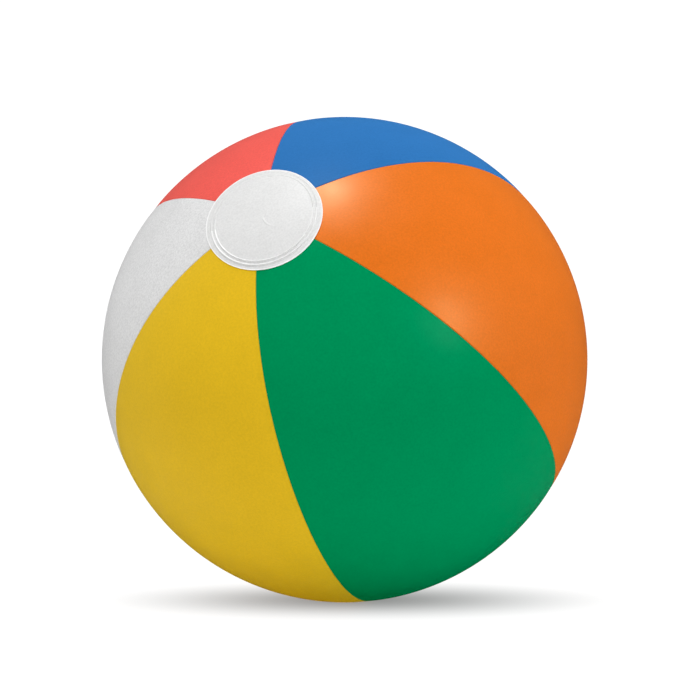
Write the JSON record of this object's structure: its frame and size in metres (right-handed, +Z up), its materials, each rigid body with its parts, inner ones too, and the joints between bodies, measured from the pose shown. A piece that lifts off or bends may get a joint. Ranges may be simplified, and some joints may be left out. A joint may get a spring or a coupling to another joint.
{
  "type": "inflatable beach ball",
  "caption": "Inflatable beach ball of coloured gore panels welded at inner seams, with round end discs and a push-in valve with a tethered plug.",
  "frame": {"origin": "on the floor, at the bottom centre of the ball's box, under the centre of the ball", "axes": "+Z up, away from the floor. The front pole's end disc faces up and towards -Y, leaning to -X. The valve is at the opposite pole, low at the back, on the +Y side"},
  "size_m": [0.2396, 0.2399, 0.2392],
  "materials": {
    "film_white": "fine-grained matte vinyl film",
    "film_yellow": "fine-grained matte vinyl film",
    "film_green": "fine-grained matte vinyl film",
    "film_orange": "fine-grained matte vinyl film",
    "film_blue": "fine-grained matte vinyl film",
    "film_red": "fine-grained matte vinyl film",
    "weld_seam": "two films welded face to face",
    "disc_white": "smooth satin vinyl film",
    "valve_vinyl": "soft moulded vinyl"
  },
  "bodies": {
    "ball": {"panel_white": "film_white", "panel_yellow": "film_yellow", "panel_green": "film_green", "panel_orange": "film_orange", "panel_blue": "film_blue", "panel_red": "film_red", "seam_red_white": "weld_seam", "seam_white_yellow": "weld_seam", "seam_yellow_green": "weld_seam", "seam_green_orange": "weld_seam", "seam_orange_blue": "weld_seam", "seam_blue_red": "weld_seam", "front_end_disc": "disc_white", "back_end_disc": "disc_white", "valve_flange": "valve_vinyl", "valve_boot": "valve_vinyl"},
    "valve": {"valve_stem": "valve_vinyl"},
    "flap": {"check_flap": "valve_vinyl"},
    "plug": {"valve_plug": "valve_vinyl", "plug_tether": "valve_vinyl"}
  },
  "joints": [
    {"name": "valve_pull", "type": "slide", "parent": "ball", "child": "valve", "axis": [0.3094, 0.7397, -0.5976], "range_m": [0, 0.014], "deforming": ["valve_boot"]},
    {"name": "plug_swing", "type": "hinge", "parent": "valve", "child": "plug", "pos_m": [0.03587, 0.08576, 0.04256], "axis": [-0.9225, 0.3859, 0], "range_deg": [0, 130], "deforming": ["plug_tether"]},
    {"name": "flap_swing", "type": "hinge", "parent": "valve", "child": "flap", "pos_m": [0.03238, 0.0774, 0.0515], "axis": [0.9225, -0.3859, 0], "range_deg": [0, 60], "stiffness_Nm_per_rad": 0.00005}
  ]
}
